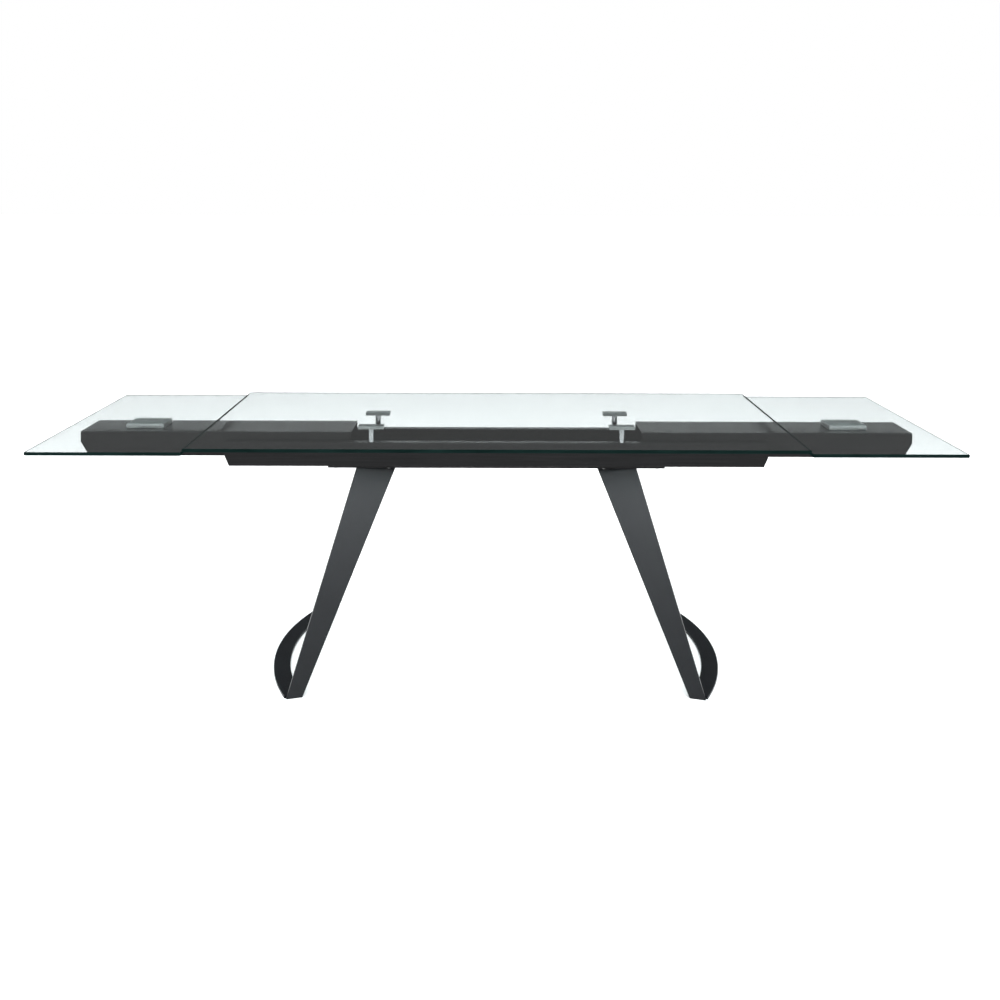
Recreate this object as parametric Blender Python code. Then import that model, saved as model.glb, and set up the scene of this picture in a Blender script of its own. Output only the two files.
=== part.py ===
"""Extendable glass dining table on a steel trestle.

Two steel rails and a pan make a channel along the table.  A box beam slides in each end of the
channel, on nylon rollers, and carries a glass leaf on a metal block.  The fixed glass top stands
over the channel on four turned posts.  Each trestle is two leaning plate legs on a curved bar that
lies on the floor.

+X runs along the table, +Y to the rear and +Z up.  The origin is on the floor under the middle of
the table.  All sizes are in metres.
"""

import math

import bmesh
import bpy

GAP = 0.0003  # space between pieces that touch
CUT_REACH = 0.02  # how far a cutter passes the end that it opens
PLATE_EASE = 0.0008  # rounding on the edges of legs, bars and other plates
GLASS_EASE = 0.0009
BLOCK_EASE = 0.0012

# Glass
TABLE_LENGTH = 2.700
TABLE_WIDTH = 0.900
TABLE_HEIGHT = 0.765
GLASS_T = 0.010
TOP_HALF_LENGTH = 0.8985
LEAF_INNER_X = 0.9015
LEAF_CLEARANCE = 0.0005  # height between a leaf and the underside of the fixed top
GLASS_UNDERSIDE = TABLE_HEIGHT - GLASS_T
LEAF_TOP_Z = GLASS_UNDERSIDE - LEAF_CLEARANCE
LEAF_UNDERSIDE = LEAF_TOP_Z - GLASS_T

# Channel: two C rails and the pan between them
RAIL_TOP_Z = 0.7015
RAIL_BOTTOM_Z = 0.634
RAIL_INNER_Y = 0.0885
RAIL_OUTER_Y = 0.118
RAIL_END_X = 0.856
RAIL_TOE_X = 0.843  # the end slopes in below the knee
KNEE_Z = 0.664
SHEET_T = 0.003
SHEET_BEND_R = 0.0010

# Sliding beam
BEAM_TOP_Z = 0.7285
BEAM_BOTTOM_Z = 0.659
BEAM_HALF_WIDTH = 0.0865
BEAM_INNER_X = 0.462
BEAM_OUTER_X = 1.320
BEAM_TOE_X = 1.299  # the outer end slopes in below the knee
BEAM_KNEE_Z = 0.695

# Block under each leaf
BLOCK_X = 1.127
BLOCK_LENGTH = 0.120
BLOCK_WIDTH = 0.098

# Posts under the fixed top
POST_X = 0.395
POST_Y = 0.1065
POST_R = 0.0095
POST_EASE = 0.0008
POST_STEPS = 40
HEAD_LENGTH = 0.080
HEAD_WIDTH = 0.034
HEAD_T = 0.010

# Rollers
ROLLER_R = 0.010
AXLE_R = 0.004
BORE_R = 0.0041
MOUTH_ROLLER_X = 0.830
MOUTH_ROLLER_Y = 0.060
MOUTH_ROLLER_WIDTH = 0.020
TAIL_ROLLER_X = 0.490
TAIL_ROLLER_Y = 0.098
TAIL_ROLLER_WIDTH = 0.016
ROLLER_CHAMFER = 0.0012
ROLLER_STEPS = 32
AXLE_STEPS = 24
AXLE_CAP_R = 0.0065
AXLE_CAP_T = 0.002

# Blocks that end the leaves' travel
STOP_BLOCK_LENGTH = 0.023
STOP_BLOCK_WIDTH = 0.080
STOP_BLOCK_TOP_Z = 0.668
TRAVEL_STOP_LENGTH = 0.010
TRAVEL_STOP_HEIGHT = 0.024
TRAVEL_STOP_REST = 0.002  # left between a stop and the roller when a leaf is out
TRAVEL_STOP_INSET = 0.002

# Base plate and its bolts
BASE_HALF_LENGTH = 0.5325
BASE_HALF_WIDTH = 0.105
BASE_T = 0.008
BASE_TOP_Z = RAIL_BOTTOM_Z - GAP
BASE_BOTTOM_Z = BASE_TOP_Z - BASE_T
BOLT_XS = (0.342, 0.510)
BOLT_Y = 0.085
BOLT_HEAD_R = 0.008
BOLT_HEAD_T = 0.005
BOLT_SOCKET_R = 0.0026
BOLT_SOCKET_DEPTH = 0.002
BOLT_STEPS = 20

# Trestle, drawn for the +X, -Y leg
FOOT_OUTER = (0.6194, -0.3672)
FOOT_INNER = (0.5739, -0.3532)
LEG_TOP_OUTER = (0.442, -0.100)
LEG_TOP_WIDTH = 0.129
LEG_T = 0.008
LEG_TOP_Z = BASE_BOTTOM_Z - GAP
ARC_T = 0.008
ARC_CENTRE_X = -0.0808
ARC_OUTER_R = 0.7933
ARC_INNER_R = 0.7418
ARC_STEPS = 28

SIDES = (("left", -1), ("right", 1))
ENDS = (("front", -1), ("rear", 1))


# ---------------------------------------------------------------- materials

def make_material(name, colour, roughness, metallic, transmission=0.0):
    """A Principled material with one colour and one finish."""
    material = bpy.data.materials.new(name)
    material.use_nodes = True
    shader = material.node_tree.nodes["Principled BSDF"]
    shader.inputs["Base Color"].default_value = (*colour, 1.0)
    shader.inputs["Roughness"].default_value = roughness
    shader.inputs["Metallic"].default_value = metallic
    shader.inputs["Transmission Weight"].default_value = transmission
    material.diffuse_color = (*colour, 1.0)
    return material


def painted_steel():
    return make_material("anthracite_paint", (0.045, 0.047, 0.051), 0.42, 0.25)


def clear_glass():
    return make_material("clear_glass", (0.86, 0.95, 0.93), 0.02, 0.0, 1.0)


def brushed_metal():
    return make_material("brushed_metal", (0.60, 0.61, 0.61), 0.32, 1.0)


def polished_chrome():
    return make_material("polished_chrome", (0.78, 0.79, 0.80), 0.10, 1.0)


def zinc_plate():
    return make_material("zinc_plate", (0.55, 0.55, 0.53), 0.35, 1.0)


def nylon():
    return make_material("nylon", (0.72, 0.70, 0.65), 0.55, 0.0)


def rubber():
    return make_material("rubber", (0.03, 0.03, 0.03), 0.85, 0.0)


# ---------------------------------------------------------------- shape helpers

def add_object(name, mesh_data, material, location=(0.0, 0.0, 0.0), parent=None):
    """Turn a bmesh, in the object's own coordinates, into a named object."""
    bmesh.ops.recalc_face_normals(mesh_data, faces=mesh_data.faces)
    mesh = bpy.data.meshes.new(name)
    mesh_data.to_mesh(mesh)
    mesh_data.free()
    mesh.materials.append(material)
    item = bpy.data.objects.new(name, mesh)
    item.location = location
    item.parent = parent
    bpy.context.scene.collection.objects.link(item)
    return item


def loops_to_bmesh(lower, upper):
    """A closed body between two outlines that have the same number of points."""
    mesh_data = bmesh.new()
    low = [mesh_data.verts.new(point) for point in lower]
    high = [mesh_data.verts.new(point) for point in upper]
    mesh_data.faces.new(low)
    mesh_data.faces.new(high)
    count = len(low)
    for i in range(count):
        j = (i + 1) % count
        mesh_data.faces.new((low[i], low[j], high[j], high[i]))
    return mesh_data


def side_prism(outline_xz, y_low, y_high):
    """A body with an outline in the XZ plane, between two values of Y."""
    lower = [(x, y_low, z) for x, z in outline_xz]
    upper = [(x, y_high, z) for x, z in outline_xz]
    return loops_to_bmesh(lower, upper)


def box(x_low, x_high, y_low, y_high, z_low, z_high):
    outline = [(x_low, z_low), (x_high, z_low), (x_high, z_high), (x_low, z_high)]
    return side_prism(outline, y_low, y_high)


def turned(profile, axis, steps, ring=False):
    """A turned body.  The profile is (radius, height) pairs; a ring's profile closes on itself."""
    mesh_data = bmesh.new()
    rows = []
    for radius, height in profile:
        count = 1 if radius == 0.0 else steps
        row = []
        for i in range(count):
            angle = 2.0 * math.pi * i / steps
            across = radius * math.cos(angle)
            over = radius * math.sin(angle)
            point = (across, height, over) if axis == "Y" else (across, over, height)
            row.append(mesh_data.verts.new(point))
        rows.append(row)
    pairs = list(zip(rows, rows[1:]))
    if ring:
        pairs.append((rows[-1], rows[0]))
    for first, second in pairs:
        for i in range(steps):
            j = (i + 1) % steps
            if len(first) == 1:
                mesh_data.faces.new((first[0], second[i], second[j]))
            elif len(second) == 1:
                mesh_data.faces.new((first[i], first[j], second[0]))
            else:
                mesh_data.faces.new((first[i], first[j], second[j], second[i]))
    return mesh_data


def smooth(item, sharp_degrees=35.0):
    item.data.shade_smooth()
    item.data.set_sharp_from_angle(angle=math.radians(sharp_degrees))


def bevel(item, width, segments=2):
    """Ease the sharp edges of a body."""
    modifier = item.modifiers.new("eased_edges", "BEVEL")
    modifier.width = width
    modifier.segments = segments
    modifier.limit_method = "ANGLE"
    modifier.angle_limit = math.radians(25.0)


def cut(item, cutter):
    """Take one body out of another."""
    cutter.hide_render = True
    cutter.display_type = "WIRE"
    modifier = item.modifiers.new("cut_" + cutter.name, "BOOLEAN")
    modifier.operation = "DIFFERENCE"
    modifier.solver = "EXACT"
    modifier.object = cutter


def add_empty(name, location):
    item = bpy.data.objects.new(name, None)
    item.location = location
    bpy.context.scene.collection.objects.link(item)
    return item


# ---------------------------------------------------------------- trestles

def leg_corners(height):
    """The outer front corner, the direction across the leg and the direction to its back."""
    share = height / LEG_TOP_Z
    x = FOOT_OUTER[0] + (LEG_TOP_OUTER[0] - FOOT_OUTER[0]) * share
    y = FOOT_OUTER[1] + (LEG_TOP_OUTER[1] - FOOT_OUTER[1]) * share
    run_x = FOOT_INNER[0] - FOOT_OUTER[0]
    run_y = FOOT_INNER[1] - FOOT_OUTER[1]
    length = math.hypot(run_x, run_y)
    across = (run_x / length, run_y / length)
    back = (across[1], -across[0])
    return (x, y), across, back, length


def leg_depth():
    """The leg's thickness measured level, because the plate leans."""
    foot, _, back, _ = leg_corners(0.0)
    top, _, _, _ = leg_corners(LEG_TOP_Z)
    run = (top[0] - foot[0]) * back[0] + (top[1] - foot[1]) * back[1]
    return LEG_T / math.cos(math.atan2(run, LEG_TOP_Z))


def leg_outline(height, width, side, end):
    corner, across, back, _ = leg_corners(height)
    depth = leg_depth()
    steps = ((0.0, 0.0), (width, 0.0), (width, depth), (0.0, depth))
    outline = []
    for along, behind in steps:
        x = corner[0] + across[0] * along + back[0] * behind
        y = corner[1] + across[1] * along + back[1] * behind
        outline.append((side * x, -end * y, height))
    return outline


def build_leg(name, side, end, material):
    """A tapered plate leg, cut level at the floor and at the base plate."""
    foot_width = leg_corners(0.0)[3]
    lower = leg_outline(0.0, foot_width, side, end)
    upper = leg_outline(LEG_TOP_Z, LEG_TOP_WIDTH, side, end)
    leg = add_object(name, loops_to_bmesh(lower, upper), material)
    bevel(leg, PLATE_EASE)
    return leg


def arc_end_angle(radius, height):
    """Where a circle of the floor bar meets the back of the leg, as an angle from +X."""
    corner, across, back, _ = leg_corners(height)
    depth = leg_depth() + GAP
    start_x = corner[0] + back[0] * depth - ARC_CENTRE_X
    start_y = corner[1] + back[1] * depth
    middle = start_x * across[0] + start_y * across[1]
    rest = start_x ** 2 + start_y ** 2 - radius ** 2
    root = math.sqrt(middle ** 2 - rest)
    along = min((-middle - root, -middle + root), key=abs)
    return math.atan2(start_y + across[1] * along, start_x + across[0] * along)


def arc_outline(height, side):
    """The floor bar's outline at one height: out along the outer circle, back along the inner."""
    outline = []
    for radius, direction in ((ARC_OUTER_R, 1), (ARC_INNER_R, -1)):
        limit = abs(arc_end_angle(radius, height))
        for i in range(ARC_STEPS + 1):
            angle = direction * limit * (2.0 * i / ARC_STEPS - 1.0)
            x = ARC_CENTRE_X + radius * math.cos(angle)
            outline.append((side * x, radius * math.sin(angle), height))
    return outline


def build_floor_arc(name, side, material):
    """The curved flat bar that lies on the floor and joins the feet of two legs."""
    bar = add_object(name, loops_to_bmesh(arc_outline(0.0, side), arc_outline(ARC_T, side)), material)
    bevel(bar, PLATE_EASE)
    return bar


def build_trestles(material):
    for side_name, side in SIDES:
        build_floor_arc("floor_arc_" + side_name, side, material)
        for end_name, end in ENDS:
            build_leg("leg_" + end_name + "_" + side_name, side, end, material)


# ---------------------------------------------------------------- base plate and channel

def build_base_plate(material):
    plate = add_object(
        "base_plate",
        box(-BASE_HALF_LENGTH, BASE_HALF_LENGTH, -BASE_HALF_WIDTH, BASE_HALF_WIDTH,
            BASE_BOTTOM_Z, BASE_TOP_Z),
        material,
    )
    bevel(plate, PLATE_EASE)


def build_bolts(material):
    """Button-head bolts with a round socket, under the base plate."""
    socket_z = BOLT_SOCKET_DEPTH - BOLT_HEAD_T
    head = [(0.0, socket_z), (BOLT_SOCKET_R, socket_z), (BOLT_SOCKET_R, -BOLT_HEAD_T)]
    for share in (0.75, 0.50, 0.25, 0.0):
        angle = share * math.pi / 2
        head.append((BOLT_HEAD_R * math.cos(angle), -BOLT_HEAD_T * math.sin(angle)))
    head.append((0.0, 0.0))
    number = 1
    for _, side in SIDES:
        for distance in BOLT_XS:
            for _, end in ENDS:
                place = (side * distance, end * BOLT_Y, BASE_BOTTOM_Z - GAP)
                name = "base_bolt_" + str(number)
                bolt = add_object(name, turned(head, "Z", BOLT_STEPS), material, place)
                smooth(bolt)
                number += 1


def channel_outline():
    """The rail seen from the front, with both lower corners sloped in."""
    return [
        (-RAIL_TOE_X, RAIL_BOTTOM_Z),
        (RAIL_TOE_X, RAIL_BOTTOM_Z),
        (RAIL_END_X, KNEE_Z),
        (RAIL_END_X, RAIL_TOP_Z),
        (-RAIL_END_X, RAIL_TOP_Z),
        (-RAIL_END_X, KNEE_Z),
    ]


def build_rails(material):
    """Two C rails, open towards each other."""
    reach = RAIL_END_X + CUT_REACH
    for end_name, end in ENDS:
        near, far = sorted((end * RAIL_INNER_Y, end * RAIL_OUTER_Y))
        rail = add_object("rail_" + end_name, side_prism(channel_outline(), near, far), material)
        near, far = sorted((end * (RAIL_INNER_Y - CUT_REACH), end * (RAIL_OUTER_Y - SHEET_T)))
        hollow = box(-reach, reach, near, far, RAIL_BOTTOM_Z + SHEET_T, RAIL_TOP_Z - SHEET_T)
        cutter = add_object("cutter_rail_" + end_name, hollow, material)
        bevel(rail, SHEET_BEND_R)
        cut(rail, cutter)


def build_pan(material):
    half_width = RAIL_INNER_Y - GAP
    add_object(
        "floor_pan",
        box(-RAIL_TOE_X, RAIL_TOE_X, -half_width, half_width,
            RAIL_BOTTOM_Z, RAIL_BOTTOM_Z + SHEET_T),
        material,
    )


def build_stop_block(material):
    """The rubber block between the two beams when the table is closed."""
    foot = RAIL_BOTTOM_Z + SHEET_T + GAP
    half_length = STOP_BLOCK_LENGTH / 2
    half_width = STOP_BLOCK_WIDTH / 2
    shape = box(-half_length, half_length, -half_width, half_width, foot, STOP_BLOCK_TOP_Z)
    block = add_object("stop_block", shape, material)
    bevel(block, BLOCK_EASE)


def build_travel_stops(material):
    """Blocks in the rails that the tail rollers reach when a leaf is fully out."""
    x_low = TAIL_ROLLER_X + ROLLER_R + TRAVEL_STOP_REST
    x_high = x_low + TRAVEL_STOP_LENGTH
    z_high = RAIL_TOP_Z - SHEET_T - GAP
    z_low = z_high - TRAVEL_STOP_HEIGHT
    for side_name, side in SIDES:
        for end_name, end in ENDS:
            left, right = sorted((side * x_low, side * x_high))
            inner_y = RAIL_INNER_Y + TRAVEL_STOP_INSET
            near, far = sorted((end * inner_y, end * (RAIL_OUTER_Y - SHEET_T - GAP)))
            name = "travel_stop_" + end_name + "_" + side_name
            stop = add_object(name, box(left, right, near, far, z_low, z_high), material)
            bevel(stop, PLATE_EASE)


# ---------------------------------------------------------------- fixed top

def build_posts(chrome, metal):
    """A turned post and a flat head plate at each of the four supports of the fixed top."""
    foot = RAIL_TOP_Z + GAP
    head_low = GLASS_UNDERSIDE - GAP - HEAD_T
    top = head_low - GAP
    profile = [
        (0.0, foot),
        (POST_R - POST_EASE, foot),
        (POST_R, foot + POST_EASE),
        (POST_R, top - POST_EASE),
        (POST_R - POST_EASE, top),
        (0.0, top),
    ]
    for side_name, side in SIDES:
        for end_name, end in ENDS:
            tail = end_name + "_" + side_name
            place = (side * POST_X, end * POST_Y, 0.0)
            post = add_object("post_" + tail, turned(profile, "Z", POST_STEPS), chrome, place)
            smooth(post)
            shape = box(-HEAD_LENGTH / 2, HEAD_LENGTH / 2, -HEAD_WIDTH / 2, HEAD_WIDTH / 2,
                        head_low, head_low + HEAD_T)
            head = add_object("head_plate_" + tail, shape, metal, place)
            bevel(head, PLATE_EASE)


def build_fixed_top(material):
    half_width = TABLE_WIDTH / 2
    shape = box(-TOP_HALF_LENGTH, TOP_HALF_LENGTH, -half_width, half_width,
                GLASS_UNDERSIDE, TABLE_HEIGHT)
    glass = add_object("centre_glass", shape, material)
    bevel(glass, GLASS_EASE)


# ---------------------------------------------------------------- sliding leaves

def beam_outline(side, inner_x, wall):
    """The beam seen from the front, drawn in from its outside by the wall thickness."""
    low = BEAM_BOTTOM_Z + wall
    slope = (BEAM_OUTER_X - BEAM_TOE_X) / (BEAM_KNEE_Z - BEAM_BOTTOM_Z)
    slant = wall * math.sqrt(1.0 + slope ** 2)
    outer_x = BEAM_OUTER_X - wall
    toe_x = BEAM_TOE_X + wall * slope - slant
    knee_z = low + (outer_x - toe_x) / slope
    outline = [
        (inner_x, low),
        (toe_x, low),
        (outer_x, knee_z),
        (outer_x, BEAM_TOP_Z - wall),
        (inner_x, BEAM_TOP_Z - wall),
    ]
    return [(side * x, z) for x, z in outline]


def build_beam(name, side, material, carriage):
    """A box beam, closed at its outer end and open at its inner end."""
    shape = side_prism(beam_outline(side, BEAM_INNER_X, 0.0), -BEAM_HALF_WIDTH, BEAM_HALF_WIDTH)
    beam = add_object(name, shape, material, parent=carriage)
    inside = BEAM_HALF_WIDTH - SHEET_T
    hollow = side_prism(beam_outline(side, BEAM_INNER_X - CUT_REACH, SHEET_T), -inside, inside)
    cutter = add_object("cutter_" + name, hollow, material, parent=carriage)
    bevel(beam, BLOCK_EASE)
    cut(beam, cutter)


def build_leaf(side_name, side, glass, metal, carriage):
    """A glass leaf and the block that holds it on the beam."""
    half = BLOCK_LENGTH / 2
    shape = box(side * BLOCK_X - half, side * BLOCK_X + half, -BLOCK_WIDTH / 2, BLOCK_WIDTH / 2,
                BEAM_TOP_Z + GAP, LEAF_UNDERSIDE - GAP)
    block = add_object("leaf_block_" + side_name, shape, metal, parent=carriage)
    bevel(block, BLOCK_EASE)
    left, right = sorted((side * LEAF_INNER_X, side * TABLE_LENGTH / 2))
    shape = box(left, right, -TABLE_WIDTH / 2, TABLE_WIDTH / 2, LEAF_UNDERSIDE, LEAF_TOP_Z)
    leaf = add_object("leaf_glass_" + side_name, shape, glass, parent=carriage)
    bevel(leaf, GLASS_EASE)


def roller_profile(width):
    half = width / 2
    return [
        (BORE_R, -half),
        (ROLLER_R - ROLLER_CHAMFER, -half),
        (ROLLER_R, -half + ROLLER_CHAMFER),
        (ROLLER_R, half - ROLLER_CHAMFER),
        (ROLLER_R - ROLLER_CHAMFER, half),
        (BORE_R, half),
    ]


def build_mouth_rollers(side_name, side, plastic, metal):
    """The rollers at the channel's mouth, which the beam rests on, and their axle."""
    height = BEAM_BOTTOM_Z - GAP - ROLLER_R
    reach = RAIL_OUTER_Y - SHEET_T - GAP
    rod = [(0.0, -reach), (AXLE_R, -reach), (AXLE_R, reach), (0.0, reach)]
    place = (side * MOUTH_ROLLER_X, 0.0, height)
    axle = add_object("mouth_axle_" + side_name, turned(rod, "Y", AXLE_STEPS), metal, place)
    smooth(axle)
    for end_name, end in ENDS:
        name = "mouth_roller_" + end_name + "_" + side_name
        place = (side * MOUTH_ROLLER_X, end * MOUTH_ROLLER_Y, height)
        shape = turned(roller_profile(MOUTH_ROLLER_WIDTH), "Y", ROLLER_STEPS, ring=True)
        smooth(add_object(name, shape, plastic, place))


def build_tail_rollers(side_name, side, plastic, metal, carriage):
    """The rollers on the beam's inner end, which run under the rails' top flanges."""
    height = RAIL_TOP_Z - SHEET_T - GAP - ROLLER_R
    for end_name, end in ENDS:
        start = BEAM_HALF_WIDTH + GAP - TAIL_ROLLER_Y
        shoulder = TAIL_ROLLER_WIDTH / 2 + GAP
        rim = shoulder + AXLE_CAP_T
        pin = [
            (0.0, end * start),
            (AXLE_R, end * start),
            (AXLE_R, end * shoulder),
            (AXLE_CAP_R, end * shoulder),
            (AXLE_CAP_R, end * rim),
            (0.0, end * rim),
        ]
        tail = end_name + "_" + side_name
        place = (side * TAIL_ROLLER_X, end * TAIL_ROLLER_Y, height)
        shape = turned(pin, "Y", AXLE_STEPS)
        smooth(add_object("tail_axle_" + tail, shape, metal, place, carriage))
        shape = turned(roller_profile(TAIL_ROLLER_WIDTH), "Y", ROLLER_STEPS, ring=True)
        smooth(add_object("tail_roller_" + tail, shape, plastic, place, carriage))


def build_table():
    for item in list(bpy.data.objects):
        bpy.data.objects.remove(item, do_unlink=True)
    paint = painted_steel()
    glass = clear_glass()
    metal = brushed_metal()
    chrome = polished_chrome()
    zinc = zinc_plate()
    plastic = nylon()
    soft = rubber()

    build_trestles(paint)
    build_base_plate(paint)
    build_bolts(zinc)
    build_rails(paint)
    build_pan(paint)
    build_stop_block(soft)
    build_travel_stops(zinc)
    build_posts(chrome, metal)
    build_fixed_top(glass)
    for side_name, side in SIDES:
        carriage = add_empty("carriage_" + side_name, (0.0, 0.0, 0.0))
        build_beam("slide_beam_" + side_name, side, paint, carriage)
        build_leaf(side_name, side, glass, metal, carriage)
        build_mouth_rollers(side_name, side, plastic, zinc)
        build_tail_rollers(side_name, side, plastic, zinc, carriage)


build_table()
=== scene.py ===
"""Looks for the extendable glass dining table: materials, finer pieces, studio and camera.

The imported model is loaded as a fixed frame.  Glass panes, posts, bolts and rollers get finer
pieces in the same places, and every material is built from shader nodes.  Sizes are in metres.
"""

import math

import bmesh
import bpy
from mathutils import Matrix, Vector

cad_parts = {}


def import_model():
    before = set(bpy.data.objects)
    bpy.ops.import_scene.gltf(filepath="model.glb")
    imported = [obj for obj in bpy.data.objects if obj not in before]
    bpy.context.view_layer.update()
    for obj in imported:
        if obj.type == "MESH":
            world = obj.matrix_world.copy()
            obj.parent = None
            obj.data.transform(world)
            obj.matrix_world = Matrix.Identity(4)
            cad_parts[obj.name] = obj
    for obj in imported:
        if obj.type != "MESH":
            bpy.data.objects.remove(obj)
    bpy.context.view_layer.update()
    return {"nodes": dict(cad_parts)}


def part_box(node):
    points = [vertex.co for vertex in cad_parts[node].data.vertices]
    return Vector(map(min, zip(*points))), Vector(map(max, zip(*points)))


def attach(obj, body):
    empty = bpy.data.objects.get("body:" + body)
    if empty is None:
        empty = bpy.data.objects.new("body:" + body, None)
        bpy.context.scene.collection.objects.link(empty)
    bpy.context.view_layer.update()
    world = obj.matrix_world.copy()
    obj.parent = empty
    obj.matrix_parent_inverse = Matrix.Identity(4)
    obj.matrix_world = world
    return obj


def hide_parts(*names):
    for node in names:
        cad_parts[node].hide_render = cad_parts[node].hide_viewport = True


# Sockets of the Mix node when it mixes colours
MIX_A = 6
MIX_B = 7
MIX_RESULT = 2

# Glass panes
PANE_CHAMFER = 0.0020
PANE_OUTER_RADIUS = 0.006
PANE_JOINT_RADIUS = 0.0025
CORNER_STEPS = 6

# Turned pieces
TURN_STEPS = 72
EASE_STEPS = 4
SHARP_DEGREES = 32.0

# Posts
POST_EASE = 0.0007
GROOVE_DEPTH = 0.0005
GROOVE_SLOPE = 0.0004
GROOVE_FLOOR = 0.0006
GROOVE_FROM_FOOT = 0.0045

# Bolts
BOLT_STEPS = 48
BOLT_CROWN_STEPS = 6
BOLT_CROWN_SHARE = 0.90  # of the quarter circle that the head's dome follows
BOLT_FLAT_R = 0.0030
BOLT_SHARP_DEGREES = 28.0
SOCKET_R = 0.0025  # to the corners of the hexagon
SOCKET_DEPTH = 0.0022

# Rollers
BORE_R = 0.0041
ROLLER_EASE = 0.0015
HUB_WALL = 0.0022
RIM_WALL = 0.0020
WEB_RECESS = 0.0014
WEB_SLOPE = 0.0004

# Camera
CAMERA_PLACE = (-0.0093, -3.6154, 1.5043)
CAMERA_TILT = 87.5
CAMERA_ROLL = -0.152
CAMERA_LENS = 40.38
CAMERA_SENSOR = 36.0
CAMERA_SHIFT = (0.0058, -0.261)
CAMERA_REACH = 200.0

# Studio
SKY_DIM = 0.092
SKY_BRIGHT = 3.75
SKY_DIM_BELOW = 0.45  # sine of the height over the horizon
SKY_BRIGHT_ABOVE = 0.90
FLOOR_HALF = 60.0
FLOOR_DROP = 0.0002
SOFTBOX_SIZE = (6.0, 1.5)
SOFTBOX_COLOUR = (0.92, 0.97, 1.0)
SOFTBOX_AWAY = 4.6
SOFTBOX_HEIGHT = 3.2
AIM_AWAY = 0.2
AIM_HEIGHT = 0.4
FRONT_POWER = 190.0
REAR_POWER = 120.0


# ---------------------------------------------------------------- shader nodes

class Shader:
    """A material's node tree, with short calls for the nodes that the materials here use."""

    def __init__(self, name):
        self.material = bpy.data.materials.new(name)
        self.material.use_nodes = True
        self.tree = self.material.node_tree
        self.nodes = self.tree.nodes
        self.principled = self.nodes["Principled BSDF"]
        self.output = self.nodes["Material Output"]

    def node(self, kind, **inputs):
        """A node of a kind; its inputs are values, colours or other nodes' sockets."""
        made = self.nodes.new(kind)
        for name, value in inputs.items():
            self.put(made, name.replace("_", " "), value)
        return made

    def put(self, node, name, value):
        """Set one input of a node, or link it where the value is a socket."""
        socket = node.inputs[name]
        if isinstance(value, bpy.types.NodeSocket):
            self.tree.links.new(value, socket)
        else:
            socket.default_value = value

    def set(self, **inputs):
        """Inputs of the Principled shader."""
        for name, value in inputs.items():
            self.put(self.principled, name.replace("_", " "), value)

    def place(self, scale=(1.0, 1.0, 1.0)):
        """Object coordinates, stretched."""
        source = self.node("ShaderNodeTexCoord").outputs["Object"]
        return self.node("ShaderNodeMapping", Vector=source, Scale=scale).outputs["Vector"]

    def noise(self, scale, detail=2.0, stretch=(1.0, 1.0, 1.0), roughness=0.5):
        """Noise with its features 1/scale metres apart, longer where the stretch is under 1."""
        made = self.node("ShaderNodeTexNoise", Vector=self.place(stretch),
                         Scale=scale, Detail=detail, Roughness=roughness)
        return made.outputs["Fac"]

    def spread(self, source, low, high, start=0.3, stop=0.7):
        """The source between start and stop, carried to low and high."""
        made = self.node("ShaderNodeMapRange", Value=source,
                         From_Min=start, From_Max=stop, To_Min=low, To_Max=high)
        return made.outputs["Result"]

    def ramp(self, source, low, high, start=0.3, stop=0.7):
        """A colour between low and high."""
        made = self.node("ShaderNodeValToRGB", Fac=source)
        first, last = made.color_ramp.elements
        first.position = start
        first.color = (*low, 1.0)
        last.position = stop
        last.color = (*high, 1.0)
        return made.outputs["Color"]

    def blend(self, share, first, second):
        """Two colours mixed by a share."""
        made = self.nodes.new("ShaderNodeMix")
        made.data_type = "RGBA"
        self.put(made, "Factor", share)
        for socket, value in ((made.inputs[MIX_A], first), (made.inputs[MIX_B], second)):
            if isinstance(value, bpy.types.NodeSocket):
                self.tree.links.new(value, socket)
            else:
                socket.default_value = (*value, 1.0)
        return made.outputs[MIX_RESULT]

    def bump(self, height, depth, normal=None):
        """Relief of a depth in metres, over an earlier normal."""
        made = self.node("ShaderNodeBump", Height=height, Distance=depth, Strength=1.0)
        if normal is not None:
            self.put(made, "Normal", normal)
        return made.outputs["Normal"]


# ---------------------------------------------------------------- materials

def powder_coat(name, gloss):
    """Satin anthracite powder coat: fine orange peel, with faint broad patches."""
    made = Shader(name)
    grain = made.noise(1100.0, detail=3.0)
    peel = made.noise(420.0, detail=2.0)
    patch = made.noise(14.0, detail=4.0)
    speck = made.ramp(grain, (0.0026, 0.0031, 0.0040), (0.0060, 0.0069, 0.0084), 0.25, 0.75)
    colour = made.blend(made.spread(patch, 0.0, 0.35), speck, (0.0080, 0.0090, 0.0108))
    made.set(Base_Color=colour)
    made.set(Roughness=made.spread(peel, 0.28, 0.38))
    made.set(Normal=made.bump(grain, 0.00004, normal=made.bump(peel, 0.00010)))
    made.set(Specular_IOR_Level=gloss)
    return made.material


def beam_coat():
    """The smoother coat of the beams, channel and base plate, with faint lines along the sheet."""
    made = Shader("powder_coat_beams")
    grain = made.noise(1300.0, detail=2.0)
    rolled = made.noise(160.0, detail=4.0, stretch=(0.03, 1.0, 1.0))
    colour = made.ramp(rolled, (0.0060, 0.0058, 0.0060), (0.0105, 0.0100, 0.0104))
    made.set(Base_Color=colour)
    made.set(Roughness=made.spread(rolled, 0.14, 0.22))
    made.set(Normal=made.bump(grain, 0.00003, normal=made.bump(rolled, 0.00001)))
    made.set(Specular_IOR_Level=0.07)
    return made.material


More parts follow.
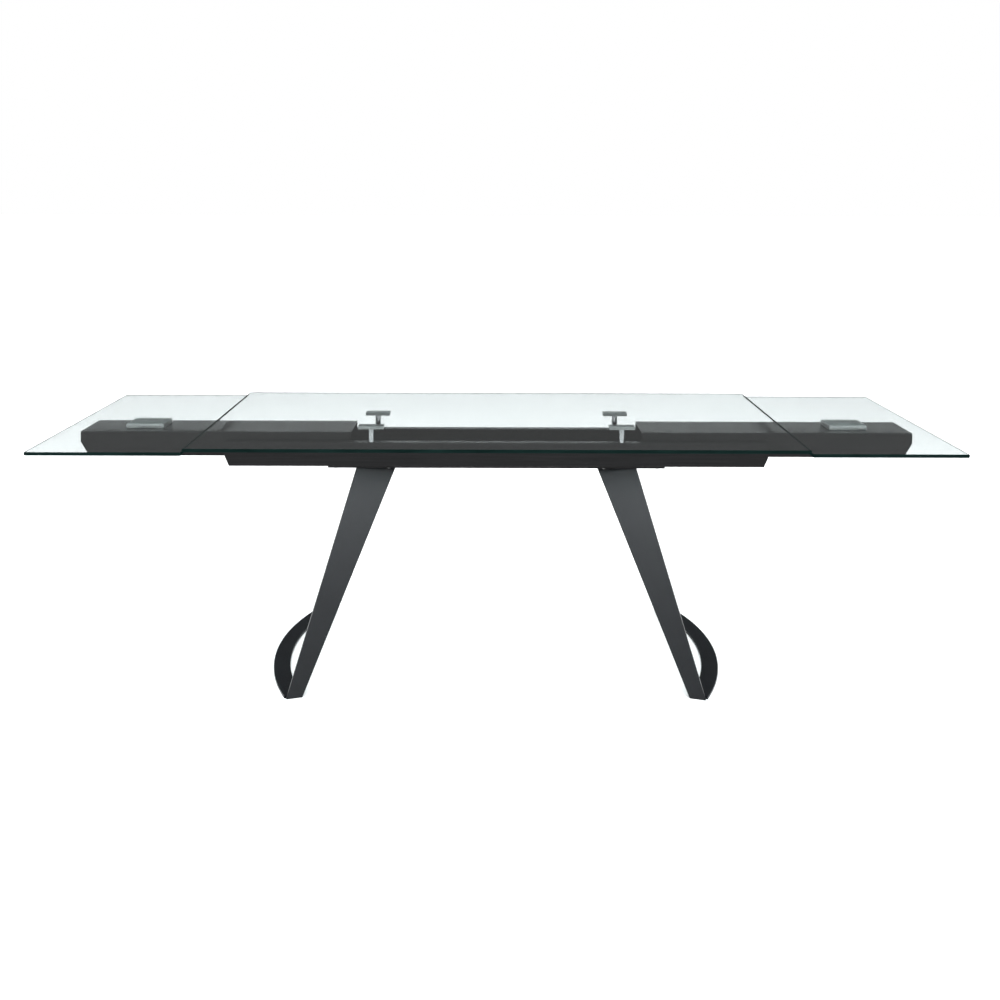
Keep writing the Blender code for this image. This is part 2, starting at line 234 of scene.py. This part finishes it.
def brushed_aluminium(name, tone):
    """Aluminium brushed along X, with a faint cloudiness."""
    made = Shader(name)
    streak = made.noise(700.0, detail=4.0, stretch=(0.03, 1.0, 1.0), roughness=0.7)
    cloud = made.noise(45.0, detail=3.0)
    dark = (0.32 * tone, 0.34 * tone, 0.34 * tone)
    light = (0.54 * tone, 0.56 * tone, 0.55 * tone)
    colour = made.blend(made.spread(cloud, 0.0, 0.3), made.ramp(streak, dark, light), dark)
    made.set(Base_Color=colour)
    made.set(Metallic=1.0)
    made.set(Roughness=made.spread(streak, 0.24, 0.38))
    made.set(Normal=made.bump(streak, 0.00003))
    return made.material


def turned_chrome():
    """Bright chrome over fine turning marks."""
    made = Shader("turned_chrome")
    rings = made.noise(2600.0, detail=2.0, stretch=(0.02, 0.02, 1.0))
    smudge = made.noise(80.0, detail=3.0)
    made.set(Base_Color=made.ramp(smudge, (0.38, 0.39, 0.40), (0.50, 0.51, 0.52)))
    made.set(Metallic=1.0)
    made.set(Roughness=made.spread(smudge, 0.06, 0.16))
    made.set(Normal=made.bump(rings, 0.00001))
    return made.material


def bright_zinc():
    """Zinc plate: a spangled, faintly yellow and blue metal."""
    made = Shader("bright_zinc")
    cells = made.node("ShaderNodeTexVoronoi", Vector=made.place(), Scale=450.0)
    tint = made.noise(160.0, detail=2.0)
    spangle = made.ramp(cells.outputs["Distance"], (0.40, 0.41, 0.42), (0.70, 0.70, 0.67), 0.1, 0.8)
    made.set(Base_Color=made.blend(made.spread(tint, 0.0, 0.5), spangle, (0.58, 0.55, 0.44)))
    made.set(Metallic=1.0)
    made.set(Roughness=made.spread(tint, 0.22, 0.40))
    made.set(Normal=made.bump(cells.outputs["Distance"], 0.00003))
    return made.material


def natural_nylon():
    """Machined off-white nylon with faint marks and patches of grime."""
    made = Shader("natural_nylon")
    marks = made.noise(900.0, detail=2.0, stretch=(1.0, 0.1, 1.0))
    grime = made.noise(120.0, detail=4.0)
    made.set(Base_Color=made.ramp(grime, (0.42, 0.40, 0.35), (0.66, 0.64, 0.59)))
    made.set(Roughness=made.spread(marks, 0.42, 0.62))
    made.set(Normal=made.bump(marks, 0.00003))
    made.set(Subsurface_Weight=0.15)
    made.set(Subsurface_Radius=(0.002, 0.002, 0.0015))
    return made.material


def black_rubber():
    """Matt moulded rubber with a bloom of pale dust."""
    made = Shader("black_rubber")
    pores = made.noise(900.0, detail=3.0)
    bloom = made.noise(60.0, detail=4.0)
    made.set(Base_Color=made.ramp(bloom, (0.010, 0.010, 0.010), (0.030, 0.030, 0.029)))
    made.set(Roughness=made.spread(pores, 0.72, 0.92))
    made.set(Normal=made.bump(pores, 0.00012))
    return made.material


def clear_glass():
    """Clear float glass with a faint cyan cast.  Lamps and bounced light pass straight through."""
    made = Shader("clear_float_glass")
    cast = made.noise(1.6, detail=1.0)
    made.set(Base_Color=made.ramp(cast, (0.918, 0.981, 0.974), (0.930, 0.985, 0.980)))
    made.set(Roughness=0.0)
    made.set(IOR=1.5)
    made.set(Transmission_Weight=1.0)
    link = made.tree.links.new
    path = made.node("ShaderNodeLightPath")
    passing = made.node("ShaderNodeMath")
    passing.operation = "MAXIMUM"
    link(path.outputs["Is Shadow Ray"], passing.inputs[0])
    link(path.outputs["Is Diffuse Ray"], passing.inputs[1])
    clear = made.node("ShaderNodeBsdfTransparent", Color=(0.93, 0.965, 0.96, 1.0))
    mixed = made.node("ShaderNodeMixShader", Fac=passing.outputs["Value"])
    link(made.principled.outputs["BSDF"], mixed.inputs[1])
    link(clear.outputs["BSDF"], mixed.inputs[2])
    made.put(made.output, "Surface", mixed.outputs["Shader"])
    return made.material


def glass_edge():
    """A polished edge, where the glass is seen through its whole width and looks near-black green."""
    made = Shader("glass_edge_green")
    depth = made.noise(9.0, detail=3.0, stretch=(1.0, 1.0, 6.0))
    polish = made.noise(500.0, detail=2.0, stretch=(1.0, 1.0, 0.1))
    made.set(Base_Color=made.ramp(depth, (0.0035, 0.0100, 0.0092), (0.0070, 0.0180, 0.0165)))
    made.set(Roughness=made.spread(polish, 0.16, 0.26))
    made.set(Normal=made.bump(polish, 0.00001))
    made.set(Specular_IOR_Level=0.0)
    return made.material


def studio_floor():
    """A pale, matt painted floor."""
    made = Shader("studio_floor")
    roller = made.noise(35.0, detail=5.0)
    made.set(Base_Color=made.ramp(roller, (0.86, 0.86, 0.86), (0.90, 0.90, 0.90)))
    made.set(Roughness=made.spread(roller, 0.80, 0.92))
    made.set(Specular_IOR_Level=0.0)
    return made.material


# ---------------------------------------------------------------- shape helpers

def add_piece(name, mesh_data, materials, body, location=(0.0, 0.0, 0.0)):
    """Turn a bmesh into a piece that moves with a body."""
    bmesh.ops.recalc_face_normals(mesh_data, faces=mesh_data.faces)
    mesh = bpy.data.meshes.new(name)
    mesh_data.to_mesh(mesh)
    mesh_data.free()
    for material in materials:
        mesh.materials.append(material)
    piece = bpy.data.objects.new(name, mesh)
    piece.location = location
    bpy.context.scene.collection.objects.link(piece)
    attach(piece, body)
    return piece


def smooth(piece, sharp_degrees=SHARP_DEGREES):
    """Shade a piece smooth, but for edges sharper than an angle."""
    piece.data.shade_smooth()
    piece.data.set_sharp_from_angle(angle=math.radians(sharp_degrees))


def corner_arc(corner_x, corner_y, side_x, side_y, radius, inset):
    """The points round one corner of a rectangle, drawn in by an inset."""
    points = []
    centre_x = corner_x - side_x * radius
    centre_y = corner_y - side_y * radius
    start = math.atan2(side_y, side_x) - math.pi / 4
    reach = radius - inset
    for i in range(CORNER_STEPS + 1):
        angle = start + math.pi / 2 * i / CORNER_STEPS
        points.append((centre_x + reach * math.cos(angle), centre_y + reach * math.sin(angle)))
    return points


def pane_outline(low, high, left_radius, right_radius, inset):
    """A rectangle with rounded corners, as one loop."""
    corners = (
        (high[0], high[1], 1, 1, right_radius),
        (low[0], high[1], -1, 1, left_radius),
        (low[0], low[1], -1, -1, left_radius),
        (high[0], low[1], 1, -1, right_radius),
    )
    outline = []
    for x, y, side_x, side_y, radius in corners:
        outline += corner_arc(x, y, side_x, side_y, radius, inset)
    return outline


def bridge_rings(mesh_data, rings, loop=False):
    """Skin a list of rings of vertices.  A loop joins the last to the first; else both are filled."""
    pairs = list(zip(rings, rings[1:]))
    if loop:
        pairs.append((rings[-1], rings[0]))
    faces = []
    for first, second in pairs:
        count = len(first)
        for i in range(count):
            j = (i + 1) % count
            faces.append(mesh_data.faces.new((first[i], first[j], second[j], second[i])))
    if not loop:
        mesh_data.faces.new(rings[0])
        mesh_data.faces.new(rings[-1])
    return faces


def glass_pane(node, materials, body, left_radius, right_radius):
    """A sheet of glass with chamfered edges and slightly rounded corners."""
    low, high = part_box(node)
    mesh_data = bmesh.new()
    rings = []
    levels = (
        (PANE_CHAMFER, low[2]),
        (0.0, low[2] + PANE_CHAMFER),
        (0.0, high[2] - PANE_CHAMFER),
        (PANE_CHAMFER, high[2]),
    )
    for inset, height in levels:
        outline = pane_outline(low, high, left_radius, right_radius, inset)
        rings.append([mesh_data.verts.new((x, y, height)) for x, y in outline])
    for face in bridge_rings(mesh_data, rings):
        face.material_index = 1
    pane = add_piece(node + "_pane", mesh_data, materials, body)
    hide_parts(node)
    return pane


def turned(profile, axis, loop=False):
    """A turned body from (radius, height) pairs.  A loop closes on itself, for a ring."""
    mesh_data = bmesh.new()
    rings = []
    for radius, height in profile:
        ring = []
        for i in range(TURN_STEPS):
            angle = 2.0 * math.pi * i / TURN_STEPS
            across = radius * math.cos(angle)
            over = radius * math.sin(angle)
            point = (across, height, over) if axis == "Y" else (across, over, height)
            ring.append(mesh_data.verts.new(point))
        rings.append(ring)
    bridge_rings(mesh_data, rings, loop=loop)
    return mesh_data


def rounded_rim(radius, height, ease):
    """Profile points round the upper outer rim of a turned body, from its side to its end."""
    points = []
    for i in range(EASE_STEPS + 1):
        angle = math.pi / 2 * i / EASE_STEPS
        r = radius - ease * (1.0 - math.cos(angle))
        h = height - ease * (1.0 - math.sin(angle))
        points.append((r, h))
    return points


def centre_of(node):
    """The middle of a node's box."""
    low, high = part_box(node)
    return tuple((low[i] + high[i]) / 2 for i in range(3))


def size_of(node):
    """The lengths of a node's box along X, Y and Z."""
    low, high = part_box(node)
    return tuple(high[i] - low[i] for i in range(3))


# ---------------------------------------------------------------- finer pieces

def make_panes(glass, edge):
    """The fixed top and the two leaves."""
    materials = (glass, edge)
    joint = PANE_JOINT_RADIUS
    outer = PANE_OUTER_RADIUS
    return (
        glass_pane("centre_glass", materials, "frame", joint, joint),
        glass_pane("leaf_glass_left", materials, "left_slide", outer, joint),
        glass_pane("leaf_glass_right", materials, "right_slide", joint, outer),
    )


def make_post(node, material):
    """A turned post with eased rims and a thin groove near its foot."""
    width, _, height = size_of(node)
    radius = width / 2
    half = height / 2
    groove = GROOVE_FROM_FOOT - half
    floor = groove + GROOVE_SLOPE
    profile = [
        (radius - POST_EASE, -half),
        (radius, -half + POST_EASE),
        (radius, groove),
        (radius - GROOVE_DEPTH, floor),
        (radius - GROOVE_DEPTH, floor + GROOVE_FLOOR),
        (radius, floor + GROOVE_FLOOR + GROOVE_SLOPE),
    ]
    profile += rounded_rim(radius, half, POST_EASE)
    post = add_piece(node + "_turned", turned(profile, "Z"), [material], "frame",
                     centre_of(node))
    smooth(post)
    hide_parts(node)


def make_bolt(node, material):
    """A button-head bolt with a hexagon socket, head down."""
    low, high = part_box(node)
    radius = (high[0] - low[0]) / 2
    depth = high[2] - low[2]
    mesh_data = bmesh.new()
    turns = [2.0 * math.pi * i / BOLT_STEPS for i in range(BOLT_STEPS)]
    rings = []
    crown = math.pi / 2 * BOLT_CROWN_SHARE
    for i in range(BOLT_CROWN_STEPS + 1):
        angle = crown * i / BOLT_CROWN_STEPS
        r = BOLT_FLAT_R + (radius - BOLT_FLAT_R) * math.cos(angle)
        z = -depth * math.sin(angle) / math.sin(crown)
        points = [(r * math.cos(turn), r * math.sin(turn), z) for turn in turns]
        rings.append([mesh_data.verts.new(point) for point in points])
    for z in (-depth, SOCKET_DEPTH - depth):
        ring = []
        for turn in turns:
            wedge = (turn % (math.pi / 3)) - math.pi / 6
            r = SOCKET_R * math.cos(math.pi / 6) / math.cos(wedge)
            ring.append(mesh_data.verts.new((r * math.cos(turn), r * math.sin(turn), z)))
        rings.append(ring)
    bridge_rings(mesh_data, rings)
    place = ((low[0] + high[0]) / 2, (low[1] + high[1]) / 2, high[2])
    bolt = add_piece(node + "_button", mesh_data, [material], "frame", place)
    smooth(bolt, BOLT_SHARP_DEGREES)
    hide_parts(node)


def make_roller(node, material):
    """A roller with rounded shoulders, a recessed web and a hub round the bore."""
    size = size_of(node)
    half = size[1] / 2
    radius = size[0] / 2
    hub = BORE_R + HUB_WALL
    rim = radius - RIM_WALL
    web = half - WEB_RECESS
    profile = [
        (BORE_R, half),
        (hub, half),
        (hub + WEB_SLOPE, web),
        (rim - WEB_SLOPE, web),
        (rim, half),
    ]
    profile += reversed(rounded_rim(radius, half, ROLLER_EASE))
    mirror = [(r, -h) for r, h in reversed(profile)]
    roller = add_piece(node + "_wheel", turned(profile + mirror, "Y", loop=True), [material],
                       node, centre_of(node))
    smooth(roller)
    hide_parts(node)


# ---------------------------------------------------------------- studio

def finish_nodes(nodes):
    """Give each node that stays the finish of its kind, and return the zinc for the bolts."""
    leg = powder_coat("powder_coat_legs", 0.42)
    bar = powder_coat("powder_coat_floor_bars", 0.08)
    beam = beam_coat()
    block = brushed_aluminium("brushed_aluminium_block", 1.0)
    plate = brushed_aluminium("brushed_aluminium_plate", 0.6)
    zinc = bright_zinc()
    rubber = black_rubber()
    kinds = (
        ("leg_", leg),
        ("floor_arc_", bar),
        ("base_plate", beam),
        ("rail_", beam),
        ("floor_pan", beam),
        ("slide_beam_", beam),
        ("leaf_block_", block),
        ("head_plate_", plate),
        ("mouth_axle_", zinc),
        ("tail_axle_", zinc),
        ("travel_stop_", zinc),
        ("stop_block", rubber),
    )
    for name, item in nodes.items():
        for start, material in kinds:
            if name.startswith(start):
                for slot in item.material_slots:
                    slot.material = material
    return zinc


def make_floor():
    """A wide floor, just under the table's feet."""
    mesh_data = bmesh.new()
    bmesh.ops.create_grid(mesh_data, x_segments=1, y_segments=1, size=FLOOR_HALF)
    mesh = bpy.data.meshes.new("studio_floor")
    mesh_data.to_mesh(mesh)
    mesh_data.free()
    mesh.materials.append(studio_floor())
    floor = bpy.data.objects.new("studio_floor", mesh)
    floor.location.z = -FLOOR_DROP
    bpy.context.scene.collection.objects.link(floor)


def make_sky():
    """A studio that is bright overhead and dim near the horizon, on a white backdrop."""
    world = bpy.data.worlds.new("studio")
    world.use_nodes = True
    bpy.context.scene.world = world
    tree = world.node_tree
    link = tree.links.new
    tree.nodes.clear()
    out = tree.nodes.new("ShaderNodeOutputWorld")
    place = tree.nodes.new("ShaderNodeTexCoord")
    split = tree.nodes.new("ShaderNodeSeparateXYZ")
    rise = tree.nodes.new("ShaderNodeMapRange")
    rise.interpolation_type = "SMOOTHSTEP"
    rise.inputs["From Min"].default_value = SKY_DIM_BELOW
    rise.inputs["From Max"].default_value = SKY_BRIGHT_ABOVE
    rise.inputs["To Min"].default_value = SKY_DIM
    rise.inputs["To Max"].default_value = SKY_BRIGHT
    sky = tree.nodes.new("ShaderNodeBackground")
    backdrop = tree.nodes.new("ShaderNodeBackground")
    path = tree.nodes.new("ShaderNodeLightPath")
    choose = tree.nodes.new("ShaderNodeMixShader")
    link(place.outputs["Generated"], split.inputs[0])
    link(split.outputs["Z"], rise.inputs["Value"])
    link(rise.outputs["Result"], sky.inputs["Strength"])
    link(path.outputs["Is Camera Ray"], choose.inputs[0])
    link(sky.outputs[0], choose.inputs[1])
    link(backdrop.outputs[0], choose.inputs[2])
    link(choose.outputs[0], out.inputs["Surface"])
    sky.inputs["Color"].default_value = (0.98, 0.99, 1.0, 1.0)
    backdrop.inputs["Color"].default_value = (1.0, 1.0, 1.0, 1.0)


def softbox(name, place, target, power):
    """A rectangular soft light aimed at a point."""
    light = bpy.data.lights.new(name, "AREA")
    light.shape = "RECTANGLE"
    light.size, light.size_y = SOFTBOX_SIZE
    light.energy = power
    light.color = SOFTBOX_COLOUR
    lamp = bpy.data.objects.new(name, light)
    lamp.location = place
    aim = [target[i] - place[i] for i in range(3)]
    across = math.hypot(aim[0], aim[1])
    lamp.rotation_euler = (math.atan2(across, -aim[2]), 0.0, math.atan2(aim[1], aim[0]) - math.pi / 2)
    bpy.context.scene.collection.objects.link(lamp)
    return lamp


def link_light(lamp, pieces, state):
    """Light linking: the lamp reaches only these pieces, or all but these pieces."""
    linked = bpy.data.collections.new(lamp.name + "_links")
    for piece in pieces:
        linked.objects.link(piece)
    lamp.light_linking.receiver_collection = linked
    for link in linked.collection_objects:
        link.light_linking.link_state = state


def make_lights(panes, rear_lit):
    """A softbox in front, which the panes don't mirror, and one behind for a few nodes only."""
    place = (0.0, -SOFTBOX_AWAY, SOFTBOX_HEIGHT)
    target = (0.0, -AIM_AWAY, AIM_HEIGHT)
    link_light(softbox("front_softbox", place, target, FRONT_POWER), panes, "EXCLUDE")
    place = (0.0, SOFTBOX_AWAY, SOFTBOX_HEIGHT)
    target = (0.0, AIM_AWAY, AIM_HEIGHT)
    link_light(softbox("rear_softbox", place, target, REAR_POWER), rear_lit, "INCLUDE")


def make_camera():
    """The camera, in front of the table and a little over it."""
    camera = bpy.data.cameras.new("camera")
    camera.lens = CAMERA_LENS
    camera.sensor_width = CAMERA_SENSOR
    camera.shift_x, camera.shift_y = CAMERA_SHIFT
    camera.clip_end = CAMERA_REACH
    item = bpy.data.objects.new("camera", camera)
    item.location = CAMERA_PLACE
    item.rotation_euler = (math.radians(CAMERA_TILT), math.radians(CAMERA_ROLL), 0.0)
    bpy.context.scene.collection.objects.link(item)
    bpy.context.scene.camera = item


def main():
    """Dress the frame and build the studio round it."""
    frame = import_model()
    nodes = frame["nodes"]
    zinc = finish_nodes(nodes)
    panes = make_panes(clear_glass(), glass_edge())
    chrome = turned_chrome()
    nylon = natural_nylon()
    for name in sorted(nodes):
        if name.startswith("post_"):
            make_post(name, chrome)
        elif name.startswith("base_bolt_"):
            make_bolt(name, zinc)
        elif "_roller_" in name:
            make_roller(name, nylon)
    make_floor()
    make_sky()
    rear_lit = [item for name, item in nodes.items() if name.startswith(("leg_", "rail_rear"))]
    make_lights(panes, rear_lit)
    make_camera()
    bpy.context.scene.view_settings.view_transform = "Standard"
    bpy.context.view_layer.update()


main()
